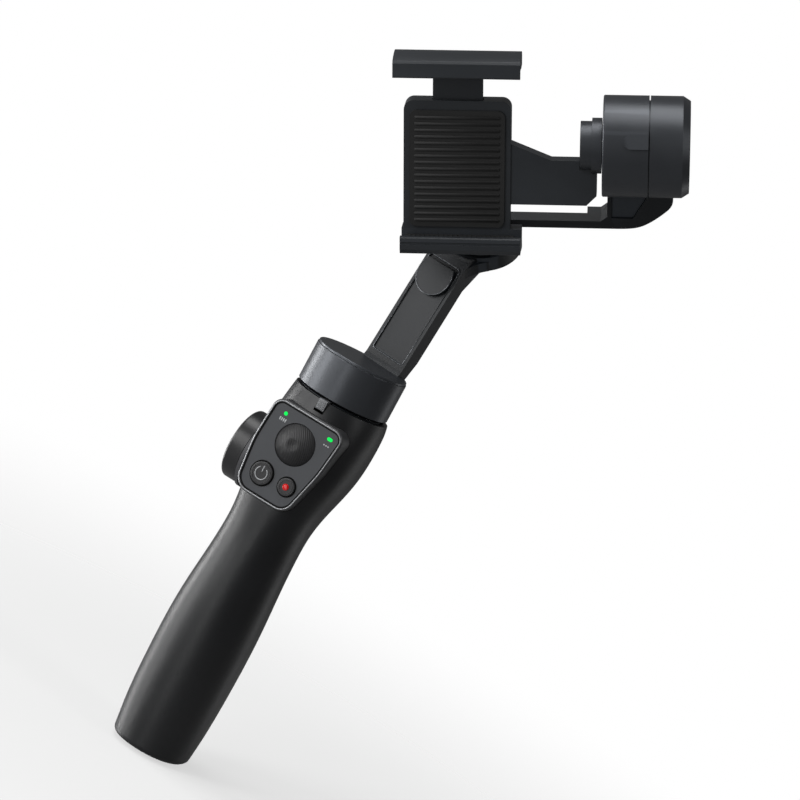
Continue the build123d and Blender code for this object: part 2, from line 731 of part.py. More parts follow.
with BuildPart() as tilt_stator:
    with BuildSketch(along_x(ROLL, TILT_X0 + 2.4)):
        Circle(13.0)
        Circle(5.0, mode=Mode.SUBTRACT)
    extrude(amount=12.0)
save(tilt_stator, "tilt_stator")

with BuildPart() as tilt_bearings:
    for x0, d in ((TILT_X0, 4.4), (TILT_X0 + 10.0, 4.4)):
        with BuildSketch(along_x(ROLL, x0)):
            Circle(5.0)
            Circle(SHAFT_R + RUN, mode=Mode.SUBTRACT)
        extrude(amount=d)
save(tilt_bearings, "tilt_bearings")

with BuildPart() as tilt_encoder_board:
    with BuildSketch(along_x(ROLL, TILT_X1 - 4.6)):
        Circle(17.4)
    extrude(amount=1.4)
save(tilt_encoder_board, "tilt_encoder_board")

with BuildPart() as tilt_shaft:
    with BuildSketch(along_x(TILT, 48.4)):
        Circle(SHAFT_R)
    extrude(amount=32.6)
save(tilt_shaft, "tilt_shaft")

with BuildPart() as tilt_rotor:
    with BuildSketch(along_x(TILT, 57.0)):
        Circle(17.4)
        Circle(14.0, mode=Mode.SUBTRACT)
    extrude(amount=16.0)
    with BuildSketch(along_x(TILT, 71.0)):
        Circle(14.0)
        Circle(SHAFT_R, mode=Mode.SUBTRACT)
    extrude(amount=2.0)
save(tilt_rotor, "tilt_rotor")

with BuildPart() as tilt_hub:
    with BuildSketch(along_x(TILT, 42.0)):
        Circle(10.3)
    extrude(amount=4.8)
    with BuildSketch(along_x(TILT, 46.8)):
        Circle(11.7)
    extrude(amount=4.2)
    with BuildSketch(along_x(TILT, 48.4)):
        Circle(SHAFT_R)
    extrude(amount=4, mode=Mode.SUBTRACT)
save(tilt_hub, "tilt_hub")

# ---------------------------------------------------------------- clamp
BACK_Y = 5.5             # rear face of the clamp
JAW_Y = -15.6            # front of the jaw lips
STEM_X0, STEM_X1 = -20.0, 1.0

with BuildPart() as clamp_frame:
    # back plate
    with BuildSketch(along_y(TILT, BACK_Y)):
        with Locations(((GRIP_X0 + GRIP_X1) / 2, -10.0)):
            RectangleRounded(45.0, 58.0, 4.0)
    extrude(amount=BACK_Y - PHONE_BACK)
    # lower jaw, profile across the clamp
    with BuildSketch(along_x(TILT, GRIP_X0 + 3.2)):
        with BuildLine():
            Polyline((JAW_Y + 0.5, -37.2), (JAW_Y, -37.7), (JAW_Y, -39.3), (JAW_Y + 0.5, -39.6), (JAW_Y + 0.5, -40.1),
                     (JAW_Y, -40.4), (JAW_Y + 0.2, -42.6), (JAW_Y + 1.4, -44.4), (JAW_Y + 3.0, -44.9),
                     (BACK_Y - 1.6, -44.9), (BACK_Y, -43.3), (BACK_Y, -36.0), (PHONE_BACK, -36.0), (PHONE_BACK, -39.5),
                     (-12.6, -39.5), (-12.6, -37.2), (JAW_Y + 0.5, -37.2))
        make_face()
    extrude(amount=GRIP_X1 - GRIP_X0 - 2.4)
    # arm to the tilt hub
    with BuildSketch(along_y(TILT, 4.6)):
        with BuildLine():
            Polyline((10.0, 2.0), (30.0, -6.0), (49.2, -6.0), (49.2, -21.0), (45.0, -25.2), (10.0, -25.2), (10.0, 2.0))
        make_face()
    extrude(amount=8.0)
    with BuildSketch(along_x(TILT, 41.8)):
        Circle(10.3)
    extrude(amount=5.2, mode=Mode.SUBTRACT)
    with BuildSketch(along_x(TILT, 46.8)):
        Circle(11.7)
    extrude(amount=5, mode=Mode.SUBTRACT)
    # guide space for the upper jaw's stem, open at the top
    with BuildSketch(along_y(TILT, 2.7)):
        with Locations(((STEM_X0 + STEM_X1) / 2, 3.0)):
            Rectangle(STEM_X1 - STEM_X0 + 0.6, 52.0)
    extrude(amount=4.4, mode=Mode.SUBTRACT)
    # spring pockets beside the stem
    for x in (-26.0, 7.0):
        with BuildSketch(along_y(TILT, 3.2)):
            with Locations((x, -9.0)):
                Rectangle(6.4, 44.0)
        extrude(amount=5.4, mode=Mode.SUBTRACT)
save(clamp_frame, "clamp_frame")

with BuildPart() as clamp_pad:
    with BuildSketch(along_y(TILT, PHONE_BACK)):
        with Locations(((GRIP_X0 + GRIP_X1) / 2, -10.0)):
            RectangleRounded(40.0, 50.0, 3.0)
    extrude(amount=0.8)
save(clamp_pad, "clamp_pad")

with BuildPart() as lower_jaw_pad:
    with BuildSketch(along_x(TILT, GRIP_X0 + 5.2)):
        with BuildLine():
            Polyline((-12.6, -39.5), (-4.8, -39.5), (-4.8, -38.4), (-12.6, -38.4), (-12.6, -39.5))
        make_face()
    extrude(amount=GRIP_X1 - GRIP_X0 - 7.6)
save(lower_jaw_pad, "lower_jaw_pad")

with BuildPart(TILT) as clamp_springs:
    for x in (-26.0, 7.0):
        with BuildSketch(along_z(TILT, -29.0)):
            with Locations((x, 0.5)):
                Circle(2.2)
                Circle(1.5, mode=Mode.SUBTRACT)
        extrude(amount=40.0)
save(clamp_springs, "clamp_springs")

with BuildPart(TILT) as guide_rods:
    for x in (-26.0, 7.0):
        with BuildSketch(along_z(TILT, -30.9)):
            with Locations((x, 0.5)):
                Circle(1.2)
        extrude(amount=43.8)
save(guide_rods, "guide_rods")

with BuildPart() as upper_jaw:
    with BuildSketch(along_x(TILT, GRIP_X0)):
        with BuildLine():
            Polyline((-12.6, 33.8), (-12.6, 30.7), (JAW_Y + 0.4, 30.7), (JAW_Y, 31.3), (JAW_Y, 36.9), (JAW_Y + 0.8, 37.9))
            Spline((JAW_Y + 0.8, 37.9), (-9.0, 39.3), (-1.0, 39.7), (4.0, 38.6), tangents=[(1, 0.35), (1, -0.5)])
            Polyline((4.0, 38.6), (BACK_Y, 37.0), (BACK_Y, 32.9), (PHONE_BACK, 32.9), (PHONE_BACK, 33.8), (-12.6, 33.8))
        make_face()
    extrude(amount=GRIP_X1 - GRIP_X0)
    # stem that slides in the clamp frame
    with BuildSketch(along_y(TILT, 2.3)):
        with Locations(((STEM_X0 + STEM_X1) / 2, 15.0)):
            Rectangle(STEM_X1 - STEM_X0, 40.0)
    extrude(amount=3.6)
save(upper_jaw, "upper_jaw")

with BuildPart() as upper_jaw_pad:
    with BuildSketch(along_x(TILT, GRIP_X0 + 3.0)):
        with BuildLine():
            Polyline((-12.6, 33.8), (-4.2, 33.8), (-4.2, 33.1), (-12.6, 33.1), (-12.6, 33.8))
        make_face()
    extrude(amount=GRIP_X1 - GRIP_X0 - 6.0)
save(upper_jaw_pad, "upper_jaw_pad")

# ---------------------------------------------------------------- fasteners
with BuildPart() as handle_screws:
    for z in (94.0, 104.0):
        with BuildSketch(along_y(BASE, -1.0)):
            with Locations((-11.0, z), (11.0, z)):
                Circle(1.0)
        extrude(amount=5.0)
        with BuildSketch(along_y(BASE, 1.0)):
            with Locations((-11.0, z), (11.0, z)):
                Circle(1.9)
        extrude(amount=2.0)
save(handle_screws, "handle_screws")

with BuildPart() as mount_screws:
    with BuildSketch(Plane.XY.offset(164.9)):
        with PolarLocations(12.0, 3, 30):
            Circle(1.7)
    extrude(amount=1.6)
save(mount_screws, "mount_screws")

with BuildPart() as arm_screws:
    with BuildSketch(along_y(MID, CUP_Y1 + 0.5)):
        with PolarLocations(11.6, 3, 90):
            Circle(1.6)
            RegularPolygon(0.8, 6, mode=Mode.SUBTRACT)
    extrude(amount=0.5)
save(arm_screws, "arm_screws")
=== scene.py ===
import math
import bpy
import bmesh
from mathutils import Matrix, Vector


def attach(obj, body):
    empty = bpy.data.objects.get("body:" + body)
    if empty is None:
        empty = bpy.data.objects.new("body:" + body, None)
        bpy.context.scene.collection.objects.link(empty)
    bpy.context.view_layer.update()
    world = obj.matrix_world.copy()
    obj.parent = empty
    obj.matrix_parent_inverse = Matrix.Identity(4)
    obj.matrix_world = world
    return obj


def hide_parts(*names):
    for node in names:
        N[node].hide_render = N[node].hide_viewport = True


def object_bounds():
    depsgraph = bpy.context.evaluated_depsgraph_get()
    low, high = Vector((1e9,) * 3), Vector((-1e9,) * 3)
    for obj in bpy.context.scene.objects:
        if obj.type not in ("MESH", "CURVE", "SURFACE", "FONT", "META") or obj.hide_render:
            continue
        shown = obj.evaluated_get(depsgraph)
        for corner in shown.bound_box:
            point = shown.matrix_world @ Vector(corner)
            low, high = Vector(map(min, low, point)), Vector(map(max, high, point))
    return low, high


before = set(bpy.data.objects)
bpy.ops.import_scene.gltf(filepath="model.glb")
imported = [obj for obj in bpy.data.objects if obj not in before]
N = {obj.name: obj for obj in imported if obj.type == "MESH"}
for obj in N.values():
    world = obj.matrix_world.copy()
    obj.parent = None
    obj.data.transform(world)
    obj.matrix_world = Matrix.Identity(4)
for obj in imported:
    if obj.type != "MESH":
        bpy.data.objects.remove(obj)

CAD_LOW, CAD_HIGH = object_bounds()
scene = bpy.context.scene
MM = 0.001

# ------------------------------------------------------------------ body frames at rest
PAN_TOP = 190.0
rad = math.radians
ARM = Matrix.Translation((0, 0, PAN_TOP * MM)) @ Matrix.Rotation(rad(-15.0), 4, "Z")
B = rad(46.4)
CROSS = Matrix(((1, 0, 0, 0), (0, math.cos(B), math.sin(B), 0), (0, -math.sin(B), math.cos(B), 104.3 * MM), (0, 0, 0, 1)))
MID = ARM @ CROSS
ROLL = MID @ Matrix.Rotation(rad(-41.8), 4, "Y")
TILT = ROLL @ Matrix.Rotation(rad(64.4), 4, "X")

# ------------------------------------------------------------------ camera
AZ, EL, KA, DIST, SC = rad(18.0), rad(8.1), rad(28.4), 1.6, 2.36
back = Vector((math.sin(AZ) * math.cos(EL), -math.cos(AZ) * math.cos(EL), math.sin(EL)))
r0 = Vector((math.cos(AZ), math.sin(AZ), 0))
u0 = back.cross(r0)
right = r0 * math.cos(KA) + u0 * math.sin(KA)
up = u0 * math.cos(KA) - r0 * math.sin(KA)
target = Vector((0, 0, PAN_TOP * MM)) + r0 * (50.9 / SC * MM) - u0 * (17.6 / SC * MM)
cam_data = bpy.data.cameras.new("camera")
cam = bpy.data.objects.new("camera", cam_data)
scene.collection.objects.link(cam)
cam.matrix_world = Matrix(((right.x, up.x, back.x, 0), (right.y, up.y, back.y, 0), (right.z, up.z, back.z, 0), (0, 0, 0, 1)))
cam.matrix_world.translation = target + back * DIST
cam_data.sensor_width = 36.0
cam_data.lens = 36.0 * DIST / (0.8 / SC)
cam_data.clip_start = 0.05
cam_data.clip_end = 30.0
scene.camera = cam


# ------------------------------------------------------------------ node helpers
def new_mat(name):
    m = bpy.data.materials.new(name)
    m.use_nodes = True
    nt = m.node_tree
    bsdf = nt.nodes.get("Principled BSDF")
    return m, nt, bsdf


def link(nt, a, b):
    nt.links.new(a, b)


def satin(name, base, rough=0.4, metallic=0.0, grain=2600.0, bump=0.05, depth=0.0002, tone=0.12, rough_var=0.06,
          specular=0.5, coat=0.0, coat_rough=0.2, edge_highlight=0.35, stretch=None, edge_highlight_tone=2.2):
    """Moulded or painted surface: fine grain, slow tone change, edges brightened as a painted highlight."""
    m, nt, bsdf = new_mat(name)
    tc = nt.nodes.new("ShaderNodeTexCoord")
    src = tc.outputs["Object"]
    if stretch:
        mp = nt.nodes.new("ShaderNodeMapping")
        mp.inputs["Scale"].default_value = stretch
        link(nt, src, mp.inputs["Vector"])
        src = mp.outputs["Vector"]
    fine = nt.nodes.new("ShaderNodeTexNoise")
    fine.inputs["Scale"].default_value = grain
    fine.inputs["Detail"].default_value = 3.0
    fine.inputs["Roughness"].default_value = 0.55
    link(nt, src, fine.inputs["Vector"])
    slow = nt.nodes.new("ShaderNodeTexNoise")
    slow.inputs["Scale"].default_value = 38.0
    slow.inputs["Detail"].default_value = 4.0
    link(nt, tc.outputs["Object"], slow.inputs["Vector"])
    # colour
    ramp = nt.nodes.new("ShaderNodeValToRGB")
    lo = [c * (1 - tone) for c in base]
    hi = [c * (1 + tone) for c in base]
    ramp.color_ramp.elements[0].position = 0.3
    ramp.color_ramp.elements[1].position = 0.7
    ramp.color_ramp.elements[0].color = (*lo, 1)
    ramp.color_ramp.elements[1].color = (*hi, 1)
    link(nt, slow.outputs["Fac"], ramp.inputs["Fac"])
    # painted highlight: where pointiness marks an edge, the colour is mixed toward a brighter copy of the base
    geo = nt.nodes.new("ShaderNodeNewGeometry")
    er = nt.nodes.new("ShaderNodeMapRange")
    er.inputs["From Min"].default_value = 0.52
    er.inputs["From Max"].default_value = 0.62
    er.inputs["To Min"].default_value = 0.0
    er.inputs["To Max"].default_value = edge_highlight
    link(nt, geo.outputs["Pointiness"], er.inputs["Value"])
    mix = nt.nodes.new("ShaderNodeMix")
    mix.data_type = "RGBA"
    mix.inputs["B"].default_value = (*[min(1, c * edge_highlight_tone) for c in base], 1)
    link(nt, er.outputs["Result"], mix.inputs["Factor"])
    link(nt, ramp.outputs["Color"], mix.inputs["A"])
    link(nt, mix.outputs["Result"], bsdf.inputs["Base Color"])
    # roughness
    rr = nt.nodes.new("ShaderNodeMapRange")
    rr.inputs["To Min"].default_value = max(0.02, rough - rough_var)
    rr.inputs["To Max"].default_value = min(1.0, rough + rough_var)
    link(nt, slow.outputs["Fac"], rr.inputs["Value"])
    link(nt, rr.outputs["Result"], bsdf.inputs["Roughness"])
    # relief
    bp = nt.nodes.new("ShaderNodeBump")
    bp.inputs["Strength"].default_value = bump
    bp.inputs["Distance"].default_value = depth
    link(nt, fine.outputs["Fac"], bp.inputs["Height"])
    link(nt, bp.outputs["Normal"], bsdf.inputs["Normal"])
    bsdf.inputs["Metallic"].default_value = metallic
    bsdf.inputs["Specular IOR Level"].default_value = specular
    if coat:
        bsdf.inputs["Coat Weight"].default_value = coat
        bsdf.inputs["Coat Roughness"].default_value = coat_rough
    return m


def lamp(name, base, glow, strength):
    m, nt, bsdf = new_mat(name)
    tc = nt.nodes.new("ShaderNodeTexCoord")
    n = nt.nodes.new("ShaderNodeTexNoise")
    n.inputs["Scale"].default_value = 900.0
    link(nt, tc.outputs["Object"], n.inputs["Vector"])
    ramp = nt.nodes.new("ShaderNodeValToRGB")
    ramp.color_ramp.elements[0].color = (*[c * 0.8 for c in base], 1)
    ramp.color_ramp.elements[1].color = (*base, 1)
    link(nt, n.outputs["Fac"], ramp.inputs["Fac"])
    link(nt, ramp.outputs["Color"], bsdf.inputs["Base Color"])
    bsdf.inputs["Roughness"].default_value = 0.18
    bsdf.inputs["Emission Color"].default_value = (*glow, 1)
    bsdf.inputs["Emission Strength"].default_value = strength
    return m


def ribbed(name, base, rough=0.5, pitch=900.0, bump=0.25, depth=0.0002, axis="X", specular=0.4):
    """Rubber with fine parallel ribs cut by a soft noise."""
    m = satin(name, base, rough=rough, grain=4200, bump=0.06, depth=0.00012, tone=0.1, edge_highlight=0.2, specular=specular)
    nt = m.node_tree
    bsdf = nt.nodes.get("Principled BSDF")
    old = bsdf.inputs["Normal"].links[0].from_node
    tc = nt.nodes.new("ShaderNodeTexCoord")
    mp = nt.nodes.new("ShaderNodeMapping")
    mp.inputs["Rotation"].default_value = (0.0, rad(38.0), 0.0)
    link(nt, tc.outputs["Object"], mp.inputs["Vector"])
    wv = nt.nodes.new("ShaderNodeTexWave")
    wv.wave_type = "BANDS"
    wv.bands_direction = axis
    wv.inputs["Scale"].default_value = pitch
    wv.inputs["Distortion"].default_value = 0.35
    wv.inputs["Detail"].default_value = 1.0
    link(nt, mp.outputs["Vector"], wv.inputs["Vector"])
    bp = nt.nodes.new("ShaderNodeBump")
    bp.inputs["Strength"].default_value = bump
    bp.inputs["Distance"].default_value = depth
    link(nt, wv.outputs["Fac"], bp.inputs["Height"])
    link(nt, old.outputs["Normal"], bp.inputs["Normal"])
    link(nt, bp.outputs["Normal"], bsdf.inputs["Normal"])
    return m


# the edge values below set each material's painted edge highlight; the arm and bezel get the strongest
M = {
    "shell": satin("handle_soft_black", (0.0052, 0.0057, 0.0068), rough=0.41, grain=3800, bump=0.06, depth=0.00012, tone=0.1, edge_highlight=0.1, specular=0.42),
    "motor": satin("motor_space_grey", (0.050, 0.054, 0.061), rough=0.36, metallic=0.5, grain=5200, bump=0.05, depth=0.0001, tone=0.06, edge_highlight=0.3),
    "arm": satin("arm_dark_grey", (0.0090, 0.0106, 0.0128), rough=0.50, metallic=0.0, grain=4600, bump=0.07, depth=0.00012, tone=0.08, edge_highlight=0.8, edge_highlight_tone=4.0, specular=0.28),
    "jaw": satin("jaw_dark_grey", (0.022, 0.025, 0.029), rough=0.40, metallic=0.2, grain=4200, bump=0.07, depth=0.00012, tone=0.08, edge_highlight=0.3),
    "panel": satin("panel_grey", (0.030, 0.0325, 0.037), rough=0.50, metallic=0.1, grain=5200, bump=0.06, depth=0.0001, tone=0.05, edge_highlight=0.1),
    "bezel": satin("bezel_dark", (0.07, 0.071, 0.074), rough=0.30, metallic=0.4, grain=4200, bump=0.03, depth=0.0001, tone=0.06, edge_highlight=0.7, edge_highlight_tone=4.0),
    "rubber": satin("button_rubber", (0.012, 0.012, 0.013), rough=0.42, grain=5200, bump=0.1, depth=0.00012, tone=0.1, edge_highlight=0.35, specular=0.45),
    "stick": ribbed("joystick_ribbed_rubber", (0.013, 0.013, 0.014), rough=0.50, pitch=420.0, bump=0.5, depth=0.0003),
    "wheel": satin("wheel_black", (0.010, 0.010, 0.011), rough=0.34, grain=4200, bump=0.05, depth=0.0001, tone=0.1, edge_highlight=0.3),
    "lock": satin("lock_grey", (0.115, 0.118, 0.124), rough=0.4, metallic=0.2, grain=4200, bump=0.06, depth=0.0001, tone=0.06, edge_highlight=0.3),
    "brass": satin("insert_brass", (0.62, 0.43, 0.17), rough=0.3, metallic=1.0, grain=1800, bump=0.04, depth=0.0001, tone=0.12, edge_highlight=0.2, edge_highlight_tone=1.3),
    "steel": satin("machined_steel", (0.46, 0.46, 0.47), rough=0.28, metallic=1.0, grain=2400, bump=0.05, depth=0.0001, tone=0.1, edge_highlight=0.2, edge_highlight_tone=1.4, stretch=(1, 1, 0.1)),
    "screw": satin("screw_black_oxide", (0.05, 0.05, 0.052), rough=0.38, metallic=0.9, grain=2400, bump=0.05, depth=0.0001, edge_highlight=0.3),
    "magnet": satin("magnet_nickel", (0.42, 0.41, 0.39), rough=0.25, metallic=1.0, grain=1500, bump=0.03, depth=0.0001, edge_highlight=0.2, edge_highlight_tone=1.3),
    "copper": satin("winding_copper", (0.50, 0.19, 0.08), rough=0.32, metallic=0.9, grain=900, bump=0.5, depth=0.0003, edge_highlight=0.2, edge_highlight_tone=1.4, stretch=(0.15, 0.15, 3)),
    "lamination": satin("stator_laminations", (0.20, 0.20, 0.205), rough=0.4, metallic=0.9, grain=700, bump=0.5, depth=0.0003, edge_highlight=0.2, stretch=(0.05, 0.05, 4)),
    "board": satin("circuit_board", (0.012, 0.10, 0.045), rough=0.35, grain=600, bump=0.2, depth=0.0002, tone=0.3, edge_highlight=0.2),
    "cell": satin("cell_wrap", (0.03, 0.10, 0.28), rough=0.25, grain=500, bump=0.08, depth=0.0002, tone=0.15, edge_highlight=0.1),
    "inner": satin("inner_plastic", (0.03, 0.03, 0.033), rough=0.5, grain=2600, bump=0.08, depth=0.0002),
    "chip": satin("chip_black", (0.012, 0.012, 0.013), rough=0.4, grain=2600, bump=0.05, depth=0.0001, edge_highlight=0.3),
    "pad": satin("pad_rubber", (0.010, 0.010, 0.010), rough=0.66, grain=2200, bump=0.35, depth=0.0002, tone=0.15, edge_highlight=0.1, specular=0.35),
    "green": lamp("lamp_green", (0.0, 0.32, 0.05), (0.0, 1.0, 0.10), 0.75),
    "red": lamp("lamp_red", (0.42, 0.004, 0.004), (1.0, 0.01, 0.01), 0.16),
    "icon": satin("icon_print", (0.36, 0.37, 0.38), rough=0.5, grain=5200, bump=0.02, depth=0.0001, edge_highlight=0.0),
    # light grey of the bezel line is a painted highlight
    "line": satin("bezel_line_painted_highlight", (0.27, 0.275, 0.285), rough=0.3, metallic=0.5, grain=4200, bump=0.03, depth=0.0001, tone=0.05, edge_highlight=0.0),
    # light grey of the arm's edge lines is a painted highlight
    "painted_rim_highlight": satin("arm_edge_painted_highlight", (0.075, 0.080, 0.088), rough=0.3, metallic=0.5, grain=4200, bump=0.03, depth=0.0001, tone=0.05, edge_highlight=0.0),
    # near-black painted shade for the bezel groove and the gaps round the buttons
    "dark": satin("recess_painted_shade", (0.004, 0.004, 0.004), rough=0.7, grain=2600, bump=0.05, depth=0.0001, edge_highlight=0.0, specular=0.2),
}
SLOT = {
    "shell": "handle_front_shell handle_rear_shell base_plug",
    "motor": "pan_motor_cup pan_top_plate tilt_motor_housing tilt_motor_cap tilt_motor_tab tilt_hub roll_rotor",
    "arm": "pan_arm arm_cover arm_cap roll_arm roll_arm_cover pan_motor_mount",
    "jaw": "clamp_frame upper_jaw",
    "panel": "panel_face",
    "bezel": "panel_bezel",
    "rubber": "power_button record_button",
    "stick": "joystick_cap",
    "wheel": "zoom_wheel",
    "lock": "pan_lock_tab",
    "brass": "tripod_insert",
    "steel": "charging_port pan_bearings pan_shaft roll_bearing tilt_bearings tilt_shaft clamp_springs guide_rods",
    "screw": "handle_screws mount_screws arm_screws",
    "magnet": "pan_magnet_ring roll_magnet_ring tilt_rotor",
    "copper": "pan_windings",
    "lamination": "pan_stator roll_stator tilt_stator",
    "board": "main_board motor_driver_board tilt_encoder_board",
    "cell": "battery_cell",
    "inner": "battery_holder joystick_socket joystick_rocker tact_switches wheel_plate wheel_encoder",
    "pad": "clamp_pad lower_jaw_pad upper_jaw_pad",
    "green": "status_light mode_light",
    "red": "record_lens",
}
for key, names in SLOT.items():
    for n in names.split():
        o = N[n]
        o.data.materials.clear()
        o.data.materials.append(M[key])

# soft edges on the visible CAD pieces
BEVEL = {
    "pan_motor_cup": 0.25, "tilt_motor_housing": 0.25, "tilt_motor_cap": 0.3, "tilt_hub": 0.3,
    "pan_arm": 0.5, "arm_cap": 0.45, "arm_cover": 0.2, "roll_arm": 0.6, "clamp_frame": 0.5, "upper_jaw": 0.5, "pan_lock_tab": 0.2,
    "zoom_wheel": 0.25, "panel_face": 0.12, "panel_bezel": 0.15, "joystick_cap": 0.1, "tilt_motor_tab": 0.2, "roll_rotor": 0.2,
}
for n, w in BEVEL.items():
    md = N[n].modifiers.new("weld", "WELD")
    md.merge_threshold = 1e-6
    md = N[n].modifiers.new("bevel", "BEVEL")
    md.width = w * MM
    md.segments = 3
    md.limit_method = "ANGLE"
    md.angle_limit = rad(32)
    md.harden_normals = True
    md.use_clamp_overlap = True
    md.miter_outer = "MITER_ARC"
    md = N[n].modifiers.new("weighted", "WEIGHTED_NORMAL")
    md.mode = "FACE_AREA"
    md.weight = 100
    md.keep_sharp = True

# ------------------------------------------------------------------ small pieces
JOY_Z = PAN_TOP - 41.8
FACE_Y = -26.4
PWR = (-7.0, JOY_Z - 17.6)
REC = (5.5, JOY_Z - 17.2)


def add_piece(name, bm, mat, body, matrix=None, smooth=True):
    me = bpy.data.meshes.new(name)
    if matrix is not None:
        bm.transform(matrix)
    bmesh.ops.recalc_face_normals(bm, faces=bm.faces[:])
    bm.to_mesh(me)
    bm.free()
    if smooth:
        for p in me.polygons:
            p.use_smooth = True
    o = bpy.data.objects.new(name, me)
    scene.collection.objects.link(o)
    me.materials.append(M[mat])
    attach(o, body)
    return o


def prism(bm, outline, y0, y1, inset=0.0):
    """Closed plate in the X-Z plane from y0 (back) to y1 (front), with its front edge drawn in by inset."""
    cx = sum(p[0] for p in outline) / len(outline)
    cz = sum(p[1] for p in outline) / len(outline)
    n = len(outline)

    def ring(y, k):
        out = []
        for i, (x, z) in enumerate(outline):
            dx, dz = x - cx, z - cz
            d = math.hypot(dx, dz) or 1.0
            f = max(0.0, (d - k) / d)
            out.append(bm.verts.new((( cx + dx * f) * MM, y * MM, (cz + dz * f) * MM)))
        return out
    a = ring(y0, 0)
    b = ring(y1 + (inset if y1 < y0 else -inset), 0)
    c = ring(y1, inset)
    for u, v in ((a, b), (b, c)):
        for i in range(n):
            bm.faces.new((u[i], u[(i + 1) % n], v[(i + 1) % n], v[i]))
    bm.faces.new(a[::-1])
    bm.faces.new(c)


def rounded_rect(cx, cz, w, h, r, n=5):
    pts = []
    for sx, sz, a0 in ((1, 1, 0), (-1, 1, 90), (-1, -1, 180), (1, -1, 270)):
        for i in range(n + 1):
            t = rad(a0 + 90 * i / n)
            pts.append((cx + sx * (w / 2 - r) + r * math.cos(t), cz + sz * (h / 2 - r) + r * math.sin(t)))
    return pts


def tube(bm, path, radius, sides=8, closed=False):
    """Round wire along a list of points in metres, with closed ends."""
    n = len(path)
    rings = []
    ref = Vector((0, 1, 0))
    for i, p in enumerate(path):
        p0 = path[(i - 1) % n] if (closed or i) else p
        p1 = path[(i + 1) % n] if (closed or i < n - 1) else p
        t = (Vector(p1) - Vector(p0)).normalized()
        u = t.cross(ref)
        if u.length < 1e-4:
            u = t.cross(Vector((0, 0, 1)))
        u.normalize()
        v = u.cross(t).normalized()
        rings.append([bm.verts.new(Vector(p) + (u * math.cos(2 * math.pi * k / sides) + v * math.sin(2 * math.pi * k / sides)) * radius)
                      for k in range(sides)])
    last = n if closed else n - 1
    for i in range(last):
        a, b = rings[i], rings[(i + 1) % n]
        for k in range(sides):
            bm.faces.new((a[k], a[(k + 1) % sides], b[(k + 1) % sides], b[k]))
    if not closed:
        bm.faces.new(rings[0][::-1])
        bm.faces.new(rings[-1])


def rounded(points, radii, inset=0.0, n=10):
    """Outline of a polygon (clockwise or not) with arcs at its corners, drawn in by inset."""
    k = len(points)
    area2 = sum(points[i][0] * points[(i + 1) % k][1] - points[(i + 1) % k][0] * points[i][1] for i in range(k))
    sg = 1.0 if area2 > 0 else -1.0
    out = []
    for i in range(k):
        p0, p1, p2 = (Vector(points[(i + j) % k]) for j in (-1, 0, 1))
        d1, d2 = (p1 - p0).normalized(), (p2 - p1).normalized()
        turn = d1.angle_signed(d2) if hasattr(d1, "angle_signed") else 0.0
        t = abs(turn)
        rr = radii[i]
        start = p1 - d1 * rr * math.tan(t / 2)
        side = Vector((-d1.y, d1.x)) * sg
        c = start + side * rr
        a0 = math.atan2(start.y - c.y, start.x - c.x)
        for j in range(n + 1):
            ang = a0 + sg * t * j / n
            q = c + Vector((math.cos(ang), math.sin(ang))) * (rr - inset)
            out.append((q.x, q.y))
    return out


# raised line round the panel in light grey as a painted highlight, and the groove inside it in near-black as painted
# shade
PANEL_PTS = [(-16.9, 14.7), (18.9, 14.7), (16.3, -6.0), (10.6, -28.1), (-16.2, -28.1), (-18.5, -6.0)]
PANEL_RADII = [5.2, 5.2, 50.0, 7.4, 7.4, 50.0]
for nm, inset, y, wire, mat in (("bezel_line", 0.86, -26.74, 0.30, "line"), ("bezel_groove", 1.55, -26.05, 0.34, "dark")):
    bm = bmesh.new()
    loop = [(x * MM, y * MM, (JOY_Z + z) * MM) for x, z in rounded(PANEL_PTS, PANEL_RADII, inset)]
    tube(bm, loop, wire * MM, 8, closed=True)
    add_piece(nm, bm, mat, "handle")

# fine raised line round the arm's channel and round the cap at its top, light grey as a painted highlight on these
# edges
C = rad(6.2)
CHANNEL = ARM @ Matrix(((1, 0, 0, 0), (0, math.sin(C), -math.cos(C), 13.8 * MM), (0, math.cos(C), math.sin(C), 0), (0, 0, 0, 1)))
bm = bmesh.new()
tube(bm, [(x * MM, y * MM, -0.06 * MM) for x, y in rounded_rect(0, 28.5, 17.9, 47.5, 1.6, 8)], 0.26 * MM, 8, closed=True)
add_piece("arm_channel_line", bm, "painted_rim_highlight", "pan", CHANNEL)
bm = bmesh.new()
tube(bm, [((-0.4 + 8.95 * math.cos(rad(t))) * MM, (45.0 + 8.95 * math.sin(rad(t))) * MM, 1.36 * MM) for t in range(-205, 26, 6)], 0.2 * MM, 8)
add_piece("arm_cap_line", bm, "painted_rim_highlight", "pan", CHANNEL)

# round boss that carries the wheel plate on the handle's side, bored for the wheel's shaft
bm = bmesh.new()
WHEEL_Y, WHEEL_Z = -5.4, 133.6
rings = [[bm.verts.new((x * MM, (WHEEL_Y + r * math.cos(2 * math.pi * k / 72)) * MM, (WHEEL_Z + r * math.sin(2 * math.pi * k / 72)) * MM)) for k in range(72)]
         for x, r in ((-20.1, 9.5), (-20.1, 13.6), (-19.6, 14.1), (-15.6, 14.1), (-15.6, 9.5))]
for a, b in zip(rings, rings[1:] + rings[:1]):
    for k in range(72):
        bm.faces.new((a[k], a[(k + 1) % 72], b[(k + 1) % 72], b[k]))
add_piece("wheel_boss", bm, "shell", "handle", smooth=False)

